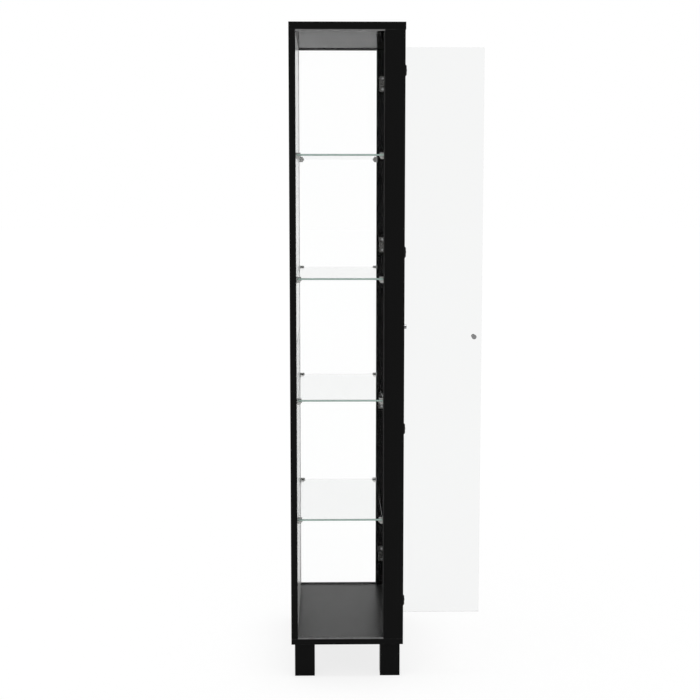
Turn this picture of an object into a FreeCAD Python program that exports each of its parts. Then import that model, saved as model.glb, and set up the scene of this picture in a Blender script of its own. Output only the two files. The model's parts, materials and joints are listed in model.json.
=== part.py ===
import FreeCAD, Part
import os
import re

import Sketcher

# Glass-sided bookcase on four square legs: a lacquered frame of stiles, rails and panels,
# panes in grooves and channels, glass shelves on pinned supports, and two inset glass doors.
# +Z is up, the front looks along -Y, and the origin is under the middle of the whole outline.
# The left door stands open square to the front and the right door is shut.

SHELF_COUNT = 4
HINGE_COUNT = 4
LEFT = -1
RIGHT = 1
SIDES = {LEFT: "left", RIGHT: "right"}
QUARTER_TURN = 90.0

SIZES = {
    # Cabinet
    "cabinet_width": 550.0,
    "cabinet_depth": 312.0,
    "cabinet_height": 1800.0,
    "top_thickness": 20.0,
    "top_overhang": 1.4,
    "bottom_thickness": 16.0,
    "edge_chamfer": 0.8,
    # Stiles and rails
    "stile_thickness": 18.0,
    "front_stile_depth": 55.0,
    "rear_stile_depth": 18.0,
    "rail_thickness": 18.0,
    "top_rail_height": 40.0,
    "bottom_rail_height": 63.0,
    # Legs and their studs
    "leg_width": 55.5,
    "leg_height": 93.0,
    "leg_rear_inset": 9.6,
    "leg_front_inset": 8.6,
    "leg_side_inset": 9.0,
    "leg_chamfer": 1.2,
    "stud_radius": 4.0,
    "stud_in_leg": 28.0,
    "stud_in_panel": 11.0,
    # Dowels
    "dowel_radius": 4.0,
    "dowel_in_panel": 11.0,
    "dowel_in_stile": 21.0,
    "dowel_side_inset": 9.0,
    "rear_dowel_inset": 6.0,
    "front_dowel_inset": 24.0,
    "front_dowel_pitch": 18.0,
    "rail_dowel_in_stile": 10.0,
    "rail_dowel_in_rail": 22.0,
    "hole_clearance": 0.1,
    "hole_end_room": 0.5,
    # Panes, their grooves and channels
    "pane_thickness": 4.0,
    "pane_setback": 2.5,
    "back_panel_setback": 12.0,
    "groove_depth": 4.5,
    "groove_clearance": 0.15,
    "groove_end_room": 0.3,
    "channel_height": 3.7,
    "channel_wall": 1.3,
    "channel_web": 1.0,
    "pane_top_room": 0.5,
    # Joint of the back panels, as a share of their height, and its strip
    "back_joint_share": 0.483,
    "joint_strip_height": 22.0,
    "joint_strip_wall": 1.2,
    "joint_strip_web": 1.5,
    # Shelves and their supports
    "shelf_thickness": 5.0,
    "shelf_rise": 1.4,
    "shelf_side_gap": 9.0,
    "shelf_end_gap": 2.0,
    "shelf_corner": 3.0,
    "glass_arris": 0.6,
    "support_side_gap": 8.0,
    "support_width": 10.0,
    "support_flange": 1.6,
    "support_drop": 8.0,
    "support_reach": 14.0,
    "ledge_thickness": 3.0,
    "gusset_foot": 10.0,
    "gusset_reach": 12.0,
    "clip_reach": 6.0,
    "clip_thickness": 3.0,
    "clip_bevel": 1.2,
    "clip_clearance": 0.3,
    "support_pin_radius": 2.0,
    "support_pin_length": 8.0,
    "support_pin_inset": 10.2,
    # Doors
    "door_thickness": 5.0,
    "door_gap": 3.0,
    "hinge_gap": 3.2,
    "meeting_gap": 4.0,
    # Hinges
    "pivot_inset": 26.0,
    "pivot_depth": 11.0,
    "hinge_low_margin": 35.0,
    "hinge_high_margin": 61.5,
    "hinge_pin_radius": 2.0,
    "hinge_pin_clearance": 0.05,
    "barrel_radius": 4.0,
    "barrel_height": 14.0,
    "ear_thickness": 3.7,
    "ear_clearance": 0.3,
    "cup_flange_radius": 17.0,
    "cup_flange_thickness": 1.6,
    "cup_radius": 12.7,
    "cup_clearance": 0.3,
    "cap_width": 32.0,
    "cap_thickness": 3.5,
    "cap_corner": 6.0,
    "cap_round": 1.6,
    "plate_height": 47.0,
    "plate_width": 20.0,
    "plate_thickness": 2.5,
    "plate_setback": 30.0,
    "plate_corner": 4.0,
    "plate_screw_spacing": 32.0,
    "arm_setback": 39.0,
    "arm_foot_width": 10.0,
    "arm_leg_offset": 2.0,
    "arm_bevel": 4.0,
    "screw_radius": 1.75,
    "screw_length": 14.0,
    "screw_head_radius": 3.6,
    "screw_head_height": 1.8,
    "screw_head_round": 0.9,
    # Knobs
    "knob_inset": 22.6,
    "knob_radius": 6.5,
    "knob_projection": 24.0,
    "knob_base_radius": 5.0,
    "knob_base_height": 1.5,
    "knob_neck_radius": 3.6,
    "knob_head_height": 8.0,
    "knob_flare": 5.0,
    "knob_dome": 1.6,
    "knob_round": 1.4,
    "knob_thread_depth": 12.0,
    "knob_screw_radius": 2.0,
    "knob_screw_grip": 10.0,
    "knob_screw_head_radius": 4.0,
    "knob_screw_head_height": 2.4,
    "knob_hole_radius": 3.0,
    "washer_radius": 5.5,
    "washer_thickness": 0.8,
    # Door stops
    "stop_length": 200.0,
    "stop_height": 10.0,
    "stop_depth": 9.0,
    "stop_setback": 8.0,
    "stop_bevel": 2.0,
    "pad_radius": 3.0,
    "pad_spread": 30.0,
    "pad_edge_gap": 1.0,
    "pad_clearance": 0.3,
    # How far a cut runs past a face
    "overrun": 1.0,
}

# Lengths and places worked out from the sizes above.
DERIVED = {
    "half_width": "cabinet_width / 2",
    "inner_half": "half_width - stile_thickness",
    "rear_y": "(cabinet_depth + door_reach) / 2",
    "front_y": "rear_y - cabinet_depth",
    "rear_edge_y": "rear_y - rear_stile_depth",
    "front_edge_y": "front_y + front_stile_depth",
    "deck_z": "leg_height + bottom_thickness",
    "head_z": "cabinet_height - top_thickness",
    "stile_height": "head_z - deck_z",
    "groove_width": "pane_thickness + 2 * groove_clearance",
    "groove_bite": "groove_depth - groove_end_room",
    "channel_width": "groove_width + 2 * channel_wall",
    "pane_z": "deck_z + channel_web",
    "pane_height": "stile_height - 2 * channel_web - pane_top_room",
    "shelf_pitch": "stile_height / (shelf_count + 1)",
    "shelf_low_y": "front_edge_y + shelf_end_gap",
    "shelf_high_y": "rear_edge_y - shelf_end_gap",
    "back_panel_front_y": "rear_y - back_panel_setback - pane_thickness",
    "back_joint_z": "deck_z + back_joint_share * stile_height",
    "door_low_z": "deck_z + bottom_rail_height + door_gap",
    "door_high_z": "head_z - top_rail_height - door_gap",
    "door_height": "door_high_z - door_low_z",
    "door_width": "inner_half - hinge_gap - meeting_gap / 2",
    "door_reach": "door_width - pivot_inset - pivot_depth",
    "pivot_x": "inner_half - hinge_gap - pivot_inset",
    "pivot_y": "front_y + pivot_depth",
    "glass_back": "door_thickness - pivot_depth",
    "hinge_low_z": "door_low_z + hinge_low_margin",
    "hinge_pitch": "(door_height - hinge_low_margin - hinge_high_margin) / (hinge_count - 1)",
    "ear_low": "barrel_height / 2 + ear_clearance",
    "ear_high": "ear_low + ear_thickness",
    "pin_hole_radius": "hinge_pin_radius + hinge_pin_clearance",
    "knob_x": "door_width - pivot_inset - knob_inset",
    "knob_z": "(door_low_z + door_high_z) / 2",
    "knob_seat": "pivot_depth + washer_thickness",
}

COUNTS = {"shelf_count": SHELF_COUNT, "hinge_count": HINGE_COUNT}

doc = FreeCAD.newDocument("bookcase")
nodes = []


def formula(text):
    """Expression with derived names worked out, counts filled in and each size read from its cell."""

    def swap(match):
        word = match.group(0)
        if word in DERIVED:
            return "(" + formula(DERIVED[word]) + ")"
        if word in COUNTS:
            return str(COUNTS[word])
        return "Sizes." + word

    return re.sub(r"[a-z][a-z_]*", swap, text)


def write_sheet():
    """Puts every driving size into the spreadsheet, with its name as the cell's alias."""
    sheet = doc.addObject("Spreadsheet::Sheet", "Sizes")
    for row, (alias, value) in enumerate(SIZES.items(), 1):
        sheet.set(f"A{row}", alias)
        sheet.set(f"B{row}", str(value))
        sheet.setAlias(f"B{row}", alias)
    doc.recompute()


def bind(thing, **properties):
    """Ties properties of an object to formulas of the sizes."""
    for name, text in properties.items():
        thing.setExpression(name, formula(text))


def place(thing, x="0", y="0", z="0", turn=None):
    """Puts an object at a place worked out from the sizes, after an optional fixed turn."""
    thing.Placement = FreeCAD.Placement(FreeCAD.Vector(), turn or FreeCAD.Rotation())
    for axis, text in zip("xyz", (x, y, z)):
        if text != "0":
            thing.setExpression(f"Placement.Base.{axis}", formula(text))
    return thing


def box(name, low, size):
    """A block from its low corner and its three sizes."""
    block = doc.addObject("Part::Box", name)
    bind(block, Length=size[0], Width=size[1], Height=size[2])
    return place(block, *low)


AXIS_TURNS = {
    "x": FreeCAD.Rotation(FreeCAD.Vector(0, 1, 0), QUARTER_TURN),
    "y": FreeCAD.Rotation(FreeCAD.Vector(1, 0, 0), -QUARTER_TURN),
    "z": FreeCAD.Rotation(),
}


def rod(name, axis, start, radius, length):
    """A round bar that runs from its start along an axis."""
    bar = doc.addObject("Part::Cylinder", name)
    bind(bar, Radius=radius, Height=length)
    return place(bar, *start, turn=AXIS_TURNS[axis])


def group(name, parts):
    """Several separate solids as one object."""
    together = doc.addObject("Part::Compound", name)
    together.Links = parts
    return together


def copies(name, master, places):
    """Copies of one solid, each at a place of its own."""
    made = []
    for number, spot in enumerate(places, 1):
        copy = doc.addObject("App::Link", f"{name}_{number}")
        copy.LinkedObject = master
        made.append(place(copy, *spot))
    return made


def fuse(name, parts):
    """Parts joined into one solid."""
    whole = doc.addObject("Part::MultiFuse", name)
    whole.Shapes = parts
    return whole


def cut(name, base, tools):
    """A base with the room of all the tools taken out."""
    result = doc.addObject("Part::Cut", name)
    result.Base = base
    result.Tool = tools[0] if len(tools) == 1 else group(name + "_tools", tools)
    return result


def node(name, thing):
    """Marks a finished object as the sub-part of that name."""
    thing.Label = name
    nodes.append(thing)
    return thing


PLANE_ROLES = {"xy": "XY_Plane", "xz": "XZ_Plane", "yz": "YZ_Plane"}


def sketch(body, name, plane):
    """An empty sketch on one of the body's own origin planes."""
    drawing = body.newObject("Sketcher::SketchObject", name)
    support = next(part for part in body.Origin.OriginFeatures if part.Role == PLANE_ROLES[plane])
    drawing.AttachmentSupport = [(support, "")]
    drawing.MapMode = "FlatFace"
    return drawing


def value(text):
    """A formula's number at the sizes written above, to start a sketch near its solution."""
    words = {name: float(size) for name, size in SIZES.items()}
    words = {**words, **COUNTS}

    def number(word):
        return words[word] if word in words else solve(DERIVED[word])

    def solve(expression):
        terms = re.sub(r"[a-z][a-z_]*", lambda match: repr(number(match.group(0))), expression)
        return float(FreeCAD.Units.Quantity(terms))

    return solve(text)


def draw_outline(drawing, corners):
    """A closed outline of straight lines whose corners are tied to formulas."""
    first = drawing.GeometryCount
    count = len(corners)
    points = [FreeCAD.Vector(value(x), value(y), 0) for x, y in corners]
    for index, point in enumerate(points):
        drawing.addGeometry(Part.LineSegment(point, points[(index + 1) % count]), False)
    for index, (x, y) in enumerate(corners):
        line = first + index
        drawing.addConstraint(Sketcher.Constraint("Coincident", line, 2, first + (index + 1) % count, 1))
        pin_point(drawing, line, 1, x, y)


def draw_circle(drawing, x, y, radius):
    """A circle whose centre and radius are tied to formulas."""
    centre = FreeCAD.Vector(value(x), value(y), 0)
    ring = drawing.addGeometry(Part.Circle(centre, FreeCAD.Vector(0, 0, 1), value(radius)), False)
    pin_point(drawing, ring, 3, x, y)
    row = drawing.addConstraint(Sketcher.Constraint("Radius", ring, value(radius)))
    drawing.setExpression(f"Constraints[{row}]", formula(radius))


def pin_point(drawing, item, point, x, y):
    """Holds a sketch point at formulas of the sizes."""
    for kind, text in (("DistanceX", x), ("DistanceY", y)):
        row = drawing.addConstraint(Sketcher.Constraint(kind, -1, 1, item, point, value(text)))
        if text != "0":
            drawing.setExpression(f"Constraints[{row}]", formula(text))


def prism(name, plane, corners, length, circles=()):
    """A body padded from an outline, with round holes where circles are given."""
    body = doc.addObject("PartDesign::Body", name)
    drawing = sketch(body, name + "_outline", plane)
    draw_outline(drawing, corners)
    for circle in circles:
        draw_circle(drawing, *circle)
    pad = body.newObject("PartDesign::Pad", name + "_pad")
    pad.Profile = drawing
    bind(pad, Length=length)
    doc.recompute()
    return body


def is_along(edge, axis):
    """True for a straight edge that runs along an axis."""
    if edge.Curve.TypeId != "Part::GeomLine":
        return False
    return abs(edge.Curve.Direction.dot(axis)) > 1 - edge.Tolerance


def dress(body, kind, size, wanted, prop):
    """A chamfer or fillet on the edges of the body that the wanted test picks."""
    tip = body.Tip
    picked = [f"Edge{row}" for row, edge in enumerate(tip.Shape.Edges, 1) if wanted(edge)]
    feature = body.newObject(f"PartDesign::{kind}", f"{body.Name}_{kind.lower()}_{len(body.Group)}")
    feature.Base = (tip, picked)
    bind(feature, **{prop: size})
    doc.recompute()
    return body


def chamfer(body, size, wanted=lambda edge: True):
    return dress(body, "Chamfer", size, wanted, "Size")


def fillet(body, radius, wanted):
    return dress(body, "Fillet", radius, wanted, "Radius")


def rectangle(low_x, low_y, high_x, high_y):
    """Four corners of an outline."""
    return [(low_x, low_y), (high_x, low_y), (high_x, high_y), (low_x, high_y)]


def upright(edge):
    return is_along(edge, FreeCAD.Vector(0, 0, 1))


# Places that more than one piece follows

def from_side(side, inset):
    """X of a point that lies inset from the outer face of a side."""
    return f"{side} * (half_width - ({inset}))"


def dowel_spots():
    """X and Y of the dowels that join the stiles to the top and bottom panels."""
    rows = ("rear_y - rear_dowel_inset",
            "front_y + front_dowel_inset",
            "front_y + front_dowel_inset + front_dowel_pitch")
    return [(from_side(side, "dowel_side_inset"), y) for side in SIDES for y in rows]


def leg_spots():
    """Name, X and Y of each leg's middle."""
    rows = {"front": "front_y + leg_front_inset + leg_width / 2",
            "rear": "rear_y - leg_rear_inset - leg_width / 2"}
    return [(f"{row}_{SIDES[side]}_leg", from_side(side, "leg_side_inset + leg_width / 2"), y)
            for row, y in rows.items() for side in SIDES]


def shelf_z(number):
    """Height of a shelf's underside, counted from the lowest shelf."""
    return f"deck_z + shelf_pitch * {number} + shelf_rise"


def support_pin_z(number):
    """Height of the pins under a shelf, at the middle of the supports' drop."""
    return f"{shelf_z(number)} - support_drop / 2"


def hinge_z(index):
    """Height of a hinge's middle, counted from the lowest hinge."""
    return f"hinge_low_z + hinge_pitch * {index}"


def hinge_heights():
    return [("0", "0", hinge_z(index)) for index in range(HINGE_COUNT)]


def door_place(thing, side):
    """Puts a piece drawn about its hinge axis, door shut, at its hinge. The left door stands open."""
    turn = FreeCAD.Rotation(FreeCAD.Vector(0, 0, 1), -QUARTER_TURN) if side == LEFT else None
    return place(thing, f"{side} * pivot_x", "pivot_y", turn=turn)


def along_door(side, distance):
    """X, drawn about the hinge axis, of a point that lies this far towards the free edge."""
    return f"{-side} * ({distance})"


# Frame

def panels():
    """Top and bottom panels with the blind holes for dowels and leg studs."""
    top = prism("top_board", "xy",
                rectangle("-1 * half_width", "front_y - top_overhang", "half_width", "rear_y"),
                "top_thickness")
    chamfer(place(top, z="head_z"), "edge_chamfer")
    holes = [rod(f"top_dowel_hole_{row}", "z", (x, y, "head_z - overrun"),
                 "dowel_radius + hole_clearance", "dowel_in_panel + hole_end_room + overrun")
             for row, (x, y) in enumerate(dowel_spots(), 1)]
    node("top_panel", cut("top_panel_drilled", top, holes))

    bottom = prism("bottom_board", "xy",
                   rectangle("-1 * half_width", "front_y", "half_width", "rear_y"),
                   "bottom_thickness")
    chamfer(place(bottom, z="leg_height"), "edge_chamfer")
    holes = [rod(f"bottom_dowel_hole_{row}", "z",
                 (x, y, "deck_z - dowel_in_panel - hole_end_room"),
                 "dowel_radius + hole_clearance", "dowel_in_panel + hole_end_room + overrun")
             for row, (x, y) in enumerate(dowel_spots(), 1)]
    holes += [rod(f"stud_hole_{row}", "z", (x, y, "leg_height - overrun"),
                  "stud_radius + hole_clearance", "stud_in_panel + hole_end_room + overrun")
              for row, (_, x, y) in enumerate(leg_spots(), 1)]
    node("bottom_panel", cut("bottom_panel_drilled", bottom, holes))


def stile_dowel_holes(name, spots):
    """Holes in both ends of a stile."""
    depth = "dowel_in_stile + hole_end_room + overrun"
    ends = {"low": "deck_z - overrun", "high": "head_z - dowel_in_stile - hole_end_room"}
    holes = []
    for row, (x, y) in enumerate(spots, 1):
        for end, z in ends.items():
            holes.append(rod(f"{name}_{end}_hole_{row}", "z", (x, y, z),
                             "dowel_radius + hole_clearance", depth))
    return holes


def support_pin_holes(name, side, start_y):
    """Holes for the shelf supports' pins, one for each shelf, along Y."""
    return [rod(f"{name}_pin_hole_{number}", "y",
                (from_side(side, "support_pin_inset"), start_y, support_pin_z(number)),
                "support_pin_radius + hole_clearance",
                "support_pin_length + hole_end_room + overrun")
            for number in range(1, SHELF_COUNT + 1)]


def rear_stile(side):
    """Square rear stile, grooved for the side pane and the back panels."""
    name = f"rear_{SIDES[side]}_stile"
    pane_near = "pane_setback - groove_clearance"
    pane_far = "pane_setback + pane_thickness + groove_clearance"
    back_near = "back_panel_setback - groove_clearance"
    back_far = "back_panel_setback + pane_thickness + groove_clearance"
    side_groove = "rear_stile_depth - groove_depth"
    back_groove = "stile_thickness - groove_depth"
    corners = [("edge_chamfer", "0"), ("stile_thickness - edge_chamfer", "0"),
               ("stile_thickness", "edge_chamfer"), ("stile_thickness", back_near),
               (back_groove, back_near), (back_groove, back_far), ("stile_thickness", back_far),
               ("stile_thickness", "rear_stile_depth"),
               (pane_far, "rear_stile_depth"), (pane_far, side_groove), (pane_near, side_groove),
               (pane_near, "rear_stile_depth"), ("edge_chamfer", "rear_stile_depth"),
               ("0", "rear_stile_depth - edge_chamfer"), ("0", "edge_chamfer")]
    outline = [(from_side(side, inset), f"rear_y - ({depth})") for inset, depth in corners]
    bar = place(prism(name + "_bar", "xy", outline, "stile_height"), z="deck_z")
    spots = [(from_side(side, "dowel_side_inset"), "rear_y - rear_dowel_inset")]
    holes = stile_dowel_holes(name, spots)
    holes += support_pin_holes(name, side, "rear_edge_y - overrun")
    node(name, cut(name + "_drilled", bar, holes))


def front_stile(side):
    """Wide front stile, grooved for the side pane and drilled for hinges, rails and shelf supports."""
    name = f"front_{SIDES[side]}_stile"
    pane_near = "pane_setback - groove_clearance"
    pane_far = "pane_setback + pane_thickness + groove_clearance"
    groove = "front_stile_depth - groove_depth"
    corners = [("edge_chamfer", "0"), ("stile_thickness - edge_chamfer", "0"),
               ("stile_thickness", "edge_chamfer"),
               ("stile_thickness", "front_stile_depth - edge_chamfer"),
               ("stile_thickness - edge_chamfer", "front_stile_depth"),
               (pane_far, "front_stile_depth"), (pane_far, groove), (pane_near, groove),
               (pane_near, "front_stile_depth"), ("edge_chamfer", "front_stile_depth"),
               ("0", "front_stile_depth - edge_chamfer"), ("0", "edge_chamfer")]
    outline = [(from_side(side, inset), f"front_y + ({depth})") for inset, depth in corners]
    bar = place(prism(name + "_bar", "xy", outline, "stile_height"), z="deck_z")
    spots = [(from_side(side, "dowel_side_inset"), y)
             for y in ("front_y + front_dowel_inset",
                       "front_y + front_dowel_inset + front_dowel_pitch")]
    holes = stile_dowel_holes(name, spots)
    holes += support_pin_holes(name, side,
                               "front_edge_y - support_pin_length - hole_end_room")
    for rail, z in rail_heights().items():
        low_x = inner_face_hole_x(side, "rail_dowel_in_stile")
        holes.append(rod(f"{name}_{rail}_hole", "x", (low_x, rail_y(), z),
                         "dowel_radius + hole_clearance",
                         "rail_dowel_in_stile + hole_end_room + overrun"))
    for row, z in enumerate(screw_heights(), 1):
        low_x = inner_face_hole_x(side, "screw_length")
        holes.append(rod(f"{name}_screw_hole_{row}", "x", (low_x, plate_y(), z),
                         "screw_radius + hole_clearance", "screw_length + hole_end_room + overrun"))
    node(name, cut(name + "_drilled", bar, holes))


def rail_heights():
    """Height of each rail's dowels."""
    return {"top_rail": "head_z - top_rail_height / 2",
            "bottom_rail": "deck_z + bottom_rail_height / 2"}


def rail_y():
    return "front_y + rail_thickness / 2"


def inner_face_hole_x(side, depth):
    """Low X of a hole that goes this deep into a stile's inner face."""
    if side == LEFT:
        return f"-1 * (inner_half + {depth} + hole_end_room)"
    return "inner_half - overrun"


def plate_y():
    return "front_y + plate_setback + plate_width / 2"


def screw_heights():
    """Heights of the screws of all the mounting plates on one stile, two for each plate."""
    return [f"{hinge_z(index)} + {end} * plate_screw_spacing / 2"
            for index in range(HINGE_COUNT) for end in (-1, 1)]


def rails():
    """Rails between the front stiles, above and below the doors."""
    for rail, low in (("top", "head_z - top_rail_height"), ("bottom", "deck_z")):
        name = f"front_{rail}_rail"
        tall = f"{rail}_rail_height"
        corners = [("edge_chamfer", "0"), ("rail_thickness", "0"), ("rail_thickness", tall),
                   ("edge_chamfer", tall), ("0", f"{tall} - edge_chamfer"), ("0", "edge_chamfer")]
        bar = prism(name + "_bar", "yz", corners, "2 * inner_half")
        place(bar, "-1 * inner_half", "front_y", low)
        z = rail_heights()[f"{rail}_rail"]
        depth = "rail_dowel_in_rail + hole_end_room + overrun"
        starts = {"left": "-1 * inner_half - overrun",
                  "right": "inner_half - rail_dowel_in_rail - hole_end_room"}
        holes = [rod(f"{name}_{end}_hole", "x", (x, rail_y(), z), "dowel_radius + hole_clearance", depth)
                 for end, x in starts.items()]
        node(name, cut(name + "_drilled", bar, holes))


def dowels():
    """Wooden dowels that join stiles to panels and rails to stiles."""
    length = "dowel_in_panel + dowel_in_stile"
    ends = {"low": "deck_z - dowel_in_panel", "high": "head_z - dowel_in_stile"}
    parts = [rod(f"{end}_dowel_{row}", "z", (x, y, z), "dowel_radius", length)
             for row, (x, y) in enumerate(dowel_spots(), 1) for end, z in ends.items()]
    node("panel_dowels", group("panel_dowel_group", parts))

    length = "rail_dowel_in_stile + rail_dowel_in_rail"
    starts = {"left": "-1 * inner_half - rail_dowel_in_stile",
              "right": "inner_half - rail_dowel_in_rail"}
    parts = [rod(f"{rail}_{end}_dowel", "x", (x, rail_y(), z), "dowel_radius", length)
             for rail, z in rail_heights().items() for end, x in starts.items()]
    node("rail_dowels", group("rail_dowel_group", parts))


def legs():
    """Square legs, each held to the bottom panel by a stud."""
    half = "leg_width / 2"
    studs = []
    for name, x, y in leg_spots():
        post = prism(name + "_post", "xy",
                     rectangle(f"{x} - {half}", f"{y} - {half}", f"{x} + {half}", f"{y} + {half}"),
                     "leg_height")
        chamfer(post, "leg_chamfer", upright)
        hole = rod(name + "_hole", "z", (x, y, "leg_height - stud_in_leg - hole_end_room"),
                   "stud_radius + hole_clearance", "stud_in_leg + hole_end_room + overrun")
        node(name, cut(name + "_drilled", post, [hole]))
        studs.append(rod(name + "_stud", "z", (x, y, "leg_height - stud_in_leg"),
                         "stud_radius", "stud_in_leg + stud_in_panel"))
    node("leg_studs", group("leg_stud_group", studs))


# Fixed glass and back

def channel_outline(inward):
    """U of a glazing channel, open towards inward, drawn from the middle of its web."""
    half = "channel_width / 2"
    slot = "groove_width / 2"
    tall = f"{inward} * channel_height"
    web = f"{inward} * channel_web"
    return [(f"-1 * {half}", "0"), (half, "0"), (half, tall), (slot, tall), (slot, web),
            (f"-1 * {slot}", web), (f"-1 * {slot}", tall), (f"-1 * {half}", tall)]


CHANNEL_ENDS = {"bottom": ("deck_z", 1), "top": ("head_z", -1)}


def side_glazing(side):
    """Side pane between the stiles, with its channels along the panels."""
    name = SIDES[side]
    far = "pane_setback + pane_thickness"
    low_x = from_side(side, "pane_setback" if side == LEFT else far)
    low_y = "front_edge_y - groove_bite"
    depth = "rear_edge_y - front_edge_y + 2 * groove_bite"
    node(f"{name}_side_glass", box(f"{name}_side_pane", (low_x, low_y, "pane_z"),
                                   ("pane_thickness", depth, "pane_height")))
    for end, (z, inward) in CHANNEL_ENDS.items():
        strip = prism(f"{name}_{end}_channel_bar", "xz", channel_outline(inward),
                      "rear_edge_y - front_edge_y")
        place(strip, from_side(side, "pane_setback + pane_thickness / 2"), "rear_edge_y", z)
        node(f"{name}_{end}_channel", strip)


def joint_outline():
    """H of the joint strip: a web between the panels' edges and a wall over each face."""
    face = "groove_width / 2"
    wall = f"({face} + joint_strip_wall)"
    high = "joint_strip_height / 2"
    web = "joint_strip_web / 2"
    return [(f"-1 * {wall}", f"-1 * {high}"), (f"-1 * {face}", f"-1 * {high}"),
            (f"-1 * {face}", f"-1 * {web}"), (face, f"-1 * {web}"), (face, f"-1 * {high}"),
            (wall, f"-1 * {high}"), (wall, high), (face, high), (face, web),
            (f"-1 * {face}", web), (f"-1 * {face}", high), (f"-1 * {wall}", high)]


def back_panels():
    """Two back panels between the rear stiles, the strip over their joint, and their channels."""
    half = "inner_half + groove_bite"
    ends = {"lower": ("pane_z", "back_joint_z - joint_strip_web / 2"),
            "upper": ("back_joint_z + joint_strip_web / 2", "pane_z + pane_height")}
    for end, (low, high) in ends.items():
        node(f"{end}_back_panel", box(f"{end}_back_sheet", (f"-1 * ({half})", "back_panel_front_y", low),
                                      (f"2 * ({half})", "pane_thickness", f"{high} - ({low})")))
    length = "2 * (inner_half - groove_end_room)"
    strip = prism("back_joint_bar", "yz", joint_outline(), length)
    place(strip, f"-1 * {length} / 2", "back_panel_front_y + pane_thickness / 2", "back_joint_z")
    node("back_joint_strip", strip)
    for end, (z, inward) in CHANNEL_ENDS.items():
        strip = prism(f"back_{end}_channel_bar", "yz", channel_outline(inward), "2 * inner_half")
        place(strip, "-1 * inner_half", "back_panel_front_y + pane_thickness / 2", z)
        node(f"back_{end}_channel", strip)


def shelves():
    """Glass shelves with rounded corners and ground edges, each on four pinned supports."""
    reach = "half_width - shelf_side_gap"
    plate = prism("shelf_plate", "xy",
                  rectangle(f"-1 * ({reach})", "shelf_low_y", reach, "shelf_high_y"), "shelf_thickness")
    fillet(plate, "shelf_corner", upright)
    chamfer(plate, "glass_arris", lambda edge: not upright(edge))
    masters = {"front": support("front", "front_edge_y", 1), "rear": support("rear", "rear_edge_y", -1)}
    for number in range(1, SHELF_COUNT + 1):
        z = shelf_z(number)
        shelf = copies(f"shelf_{number}_copy", plate, [("0", "0", z)])
        node(f"shelf_{number}", group(f"shelf_{number}_plate", shelf))
        spots = [(from_side(side, "support_side_gap + support_width / 2"), "0", z) for side in SIDES]
        hold = [copy for row, pair in masters.items() for side, spot in zip(SIDES, spots)
                for copy in copies(f"shelf_{number}_{row}_{SIDES[side]}", pair[side], [spot])]
        node(f"shelf_{number}_supports", group(f"shelf_{number}_support_group", hold))


def support(row, edge_y, inward):
    """Shelf support: flange on the stile's edge, gusseted ledge, clip over the glass, and a pin.

    It is drawn from the middle of its width and from the shelf's underside. The pin stands off the
    middle, so there is one for each side.
    """
    clip_low = "shelf_thickness + clip_clearance"
    clip_high = f"{clip_low} + clip_thickness"
    profile = [("0", "-1 * support_drop"), ("gusset_foot", "-1 * support_drop"),
               ("gusset_reach", "-1 * ledge_thickness"), ("support_reach", "-1 * ledge_thickness"),
               ("support_reach", "0"), ("support_flange", "0"), ("support_flange", clip_low),
               ("clip_reach", clip_low), ("clip_reach", f"{clip_high} - clip_bevel"),
               ("clip_reach - clip_bevel", clip_high), ("0", clip_high)]
    outline = [(f"{edge_y} + {inward} * ({out})", up) for out, up in profile]
    pair = {}
    for side, word in SIDES.items():
        name = f"{row}_{word}_support"
        bracket = prism(name + "_bracket", "yz", outline, "support_width")
        place(bracket, "-1 * support_width / 2")
        offset = f"{side} * (support_side_gap + support_width / 2 - support_pin_inset)"
        start = f"{edge_y} - support_pin_length" if inward > 0 else f"{edge_y} - support_flange"
        pin = rod(name + "_pin", "y", (offset, start, "-1 * support_drop / 2"), "support_pin_radius",
                  "support_pin_length + support_flange")
        pair[side] = fuse(name, [bracket, pin])
    return pair


# Doors and hinges

def door_glass(side):
    """Door pane with ground edges, drilled for the hinge cups and the knob's screw."""
    name = SIDES[side]
    low = along_door(side, "-1 * pivot_inset")
    high = along_door(side, "door_width - pivot_inset")
    circles = [("0", hinge_z(index), "cup_radius + cup_clearance") for index in range(HINGE_COUNT)]
    circles.append((along_door(side, "knob_x"), "knob_z", "knob_hole_radius"))
    pane = prism(f"{name}_door_pane", "xz", rectangle(low, "door_low_z", high, "door_high_z"),
                 "door_thickness", circles)
    chamfer(pane, "glass_arris", lambda edge: edge.Curve.TypeId == "Part::GeomLine")
    leaf = group(f"{name}_door_leaf", copies(f"{name}_door_copy", pane, [("0", "glass_back", "0")]))
    node(f"{name}_door_glass", door_place(leaf, side))


def hinge_cups(side):
    """Cups through the glass, each with a flange inside and two ears that hold the hinge pin."""
    name = f"{SIDES[side]}_hinge_cup"
    flange_back = "glass_back + cup_flange_thickness"
    boss = rod(name + "_boss", "y", ("0", "-1 * pivot_depth", "0"), "cup_radius", "door_thickness")
    flange = rod(name + "_flange", "y", ("0", "glass_back", "0"), "cup_flange_radius",
                 "cup_flange_thickness")
    parts = [boss, flange]
    for end, low in (("high", "ear_low"), ("low", "-1 * ear_high")):
        parts.append(rod(f"{name}_{end}_ear", "z", ("0", "0", low), "barrel_radius", "ear_thickness"))
        parts.append(box(f"{name}_{end}_web", ("-1 * barrel_radius", flange_back, low),
                         ("2 * barrel_radius", f"-1 * ({flange_back})", "ear_thickness")))
    hole = rod(name + "_hole", "z", ("0", "0", "-1 * ear_high - overrun"), "pin_hole_radius",
               "2 * (ear_high + overrun)")
    master = cut(name + "_bored", fuse(name + "_body", parts), [hole])
    cups = group(name + "_group", copies(name + "_copy", master, hinge_heights()))
    node(f"{SIDES[side]}_hinge_cups", door_place(cups, side))


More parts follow.
